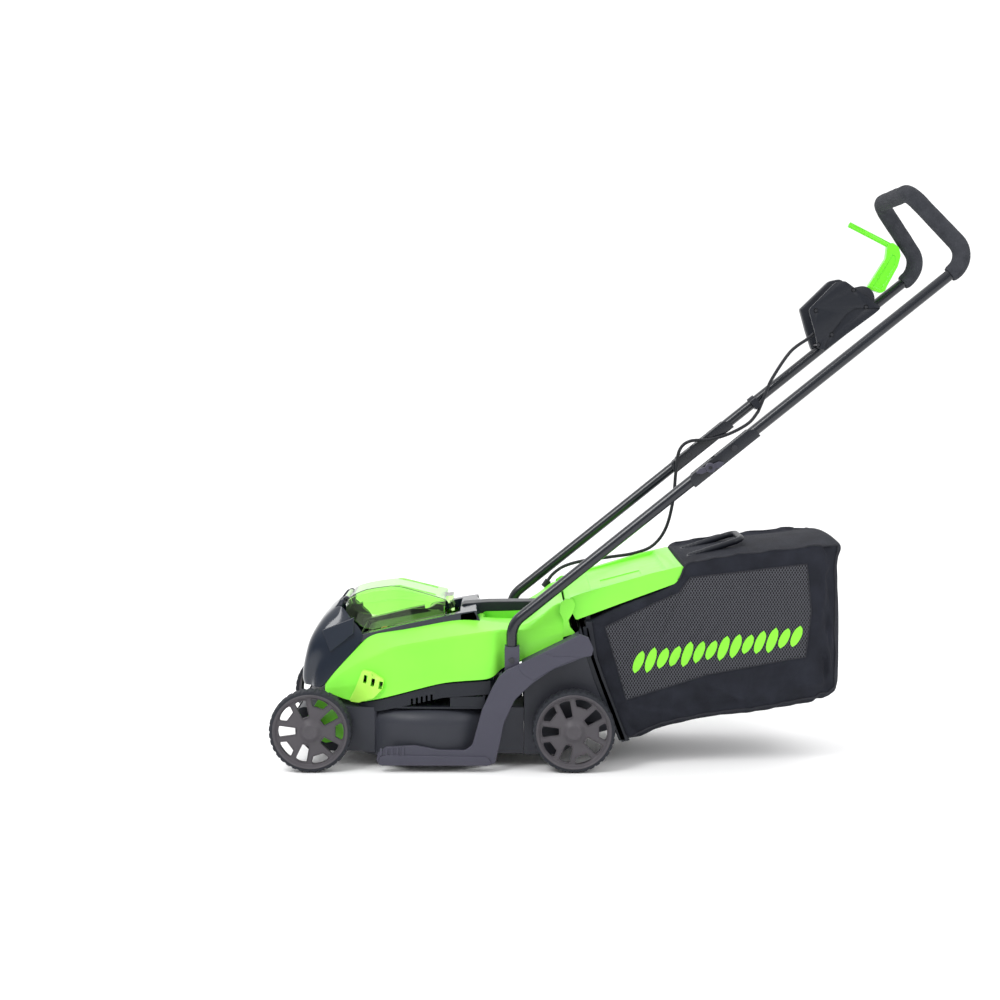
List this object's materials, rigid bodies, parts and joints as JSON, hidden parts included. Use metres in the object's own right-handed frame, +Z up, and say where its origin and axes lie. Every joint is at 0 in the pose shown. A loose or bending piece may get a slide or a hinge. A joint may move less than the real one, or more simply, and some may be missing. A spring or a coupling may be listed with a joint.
{
  "type": "push lawn mower",
  "caption": "Cordless push lawn mower with a rear grass bag, a folding U handle, a clear battery lid, a rear discharge flap and a spinning cutting blade.",
  "frame": {"origin": "on the ground below the middle of the mower's bounding box", "axes": "+Z up, +Y towards the handle and the grass bag, -Y the nose, +X the mower's left side"},
  "size_m": [0.39, 1.2595, 1.071],
  "materials": {
    "green_plastic": "semi-gloss moulded",
    "black_plastic": "satin moulded",
    "black_gloss": "high gloss",
    "grey_plastic": "fine texture",
    "wheel_plastic": "satin moulded",
    "tyre_rubber": "moulded tread",
    "clear_green": "clear tinted plastic",
    "black_tube": "gloss powder coat",
    "steel": "bright plated",
    "foam": "closed-cell foam",
    "bag_cloth": "woven polyester",
    "motor_black": "satin paint",
    "key_orange": "moulded",
    "board_green": "potted board",
    "cable_rubber": "satin jacket"
  },
  "bodies": {
    "root": {"deck_shell": "black_plastic", "discharge_chute": "black_plastic", "side_skirt_left": "grey_plastic", "side_skirt_right": "grey_plastic", "chassis_tray": "black_plastic", "top_cover": "green_plastic", "front_cover": "black_gloss", "side_vents": "green_plastic", "carry_handle": "black_gloss", "battery_tray": "black_plastic", "battery_pack": "black_plastic", "safety_key": "key_orange", "lid_hinge_pin": "steel", "motor_housing": "motor_black", "controller_box": "board_green", "front_axle_rod": "steel", "rear_axle_rod": "steel", "axle_clips": "steel", "front_axle_carrier": "green_plastic", "handle_socket_left": "grey_plastic", "handle_socket_right": "grey_plastic", "socket_screws": "steel", "lower_tube_left": "black_tube", "lower_tube_right": "black_tube", "flap_hinge_rod": "steel", "flap_spring": "steel", "cable_gland": "cable_rubber", "cable_lower": "cable_rubber"},
    "wheel_fl": {"wheel_front_left": "wheel_plastic", "tyre_front_left": "tyre_rubber"},
    "wheel_fr": {"wheel_front_right": "wheel_plastic", "tyre_front_right": "tyre_rubber"},
    "wheel_rl": {"wheel_rear_left": "wheel_plastic", "tyre_rear_left": "tyre_rubber"},
    "wheel_rr": {"wheel_rear_right": "wheel_plastic", "tyre_rear_right": "tyre_rubber"},
    "rotor": {"motor_shaft": "steel", "blade_adapter": "motor_black", "cutting_blade": "steel", "blade_bolt": "steel"},
    "lid": {"battery_lid": "clear_green"},
    "flap": {"discharge_flap": "green_plastic"},
    "bag": {"bag_frame": "black_plastic", "bag_neck": "bag_cloth", "bag_fabric": "bag_cloth", "bag_handle": "black_plastic"},
    "handle": {"upper_handle": "black_tube", "foam_grip": "foam", "fold_brackets": "black_tube", "bracket_bolts": "steel", "cable_clip": "black_plastic", "cable_upper": "cable_rubber", "switch_box_inner": "black_plastic", "switch_box_outer": "black_plastic", "switch_box_screws": "steel", "switch_unit": "black_plastic"},
    "knob_left": {"wing_knob_left": "grey_plastic"},
    "knob_right": {"wing_knob_right": "grey_plastic"},
    "lever": {"bail_lever": "green_plastic"},
    "button": {"lock_off_button": "grey_plastic"}
  },
  "joints": [
    {"name": "front_left_wheel_spin", "type": "hinge", "parent": "root", "child": "wheel_fl", "pos_m": [0.1775, -0.554, 0.076], "axis": [1, 0, 0], "continuous": true},
    {"name": "front_right_wheel_spin", "type": "hinge", "parent": "root", "child": "wheel_fr", "pos_m": [-0.1775, -0.554, 0.076], "axis": [1, 0, 0], "continuous": true},
    {"name": "rear_left_wheel_spin", "type": "hinge", "parent": "root", "child": "wheel_rl", "pos_m": [0.1775, -0.074, 0.076], "axis": [1, 0, 0], "continuous": true},
    {"name": "rear_right_wheel_spin", "type": "hinge", "parent": "root", "child": "wheel_rr", "pos_m": [-0.1775, -0.074, 0.076], "axis": [1, 0, 0], "continuous": true},
    {"name": "blade_spin", "type": "hinge", "parent": "root", "child": "rotor", "pos_m": [0, -0.335, 0.045], "axis": [0, 0, 1], "continuous": true},
    {"name": "lid_open", "type": "hinge", "parent": "root", "child": "lid", "pos_m": [0, -0.5, 0.297], "axis": [1, 0, 0], "range_deg": [0, 70]},
    {"name": "flap_open", "type": "hinge", "parent": "root", "child": "flap", "pos_m": [0, -0.08, 0.306], "axis": [1, 0, 0], "range_deg": [0, 62], "stiffness_Nm_per_rad": 0.25, "springref_deg": -20.05},
    {"name": "bag_lift", "type": "slide", "parent": "root", "child": "bag", "axis": [0, 0.9367, 0.3502], "range_m": [0, 0.18]},
    {"name": "handle_fold", "type": "hinge", "parent": "root", "child": "handle", "pos_m": [0, 0.168, 0.55747], "axis": [1, 0, 0], "range_deg": [0, 125]},
    {"name": "left_knob_turn", "type": "hinge", "parent": "handle", "child": "knob_left", "pos_m": [0.18, 0.168, 0.55747], "axis": [1, 0, 0], "continuous": true},
    {"name": "right_knob_turn", "type": "hinge", "parent": "handle", "child": "knob_right", "pos_m": [-0.18, 0.168, 0.55747], "axis": [1, 0, 0], "continuous": true},
    {"name": "bail_squeeze", "type": "hinge", "parent": "handle", "child": "lever", "pos_m": [-0.14, 0.502, 0.868], "axis": [-1, 0, 0], "range_deg": [0, 10], "stiffness_Nm_per_rad": 1.5, "springref_deg": -8.59},
    {"name": "lock_off_press", "type": "slide", "parent": "handle", "child": "button", "axis": [1, 0, 0], "range_m": [0, 0.003], "stiffness_N_per_m": 300, "springref_m": -0.002}
  ]
}
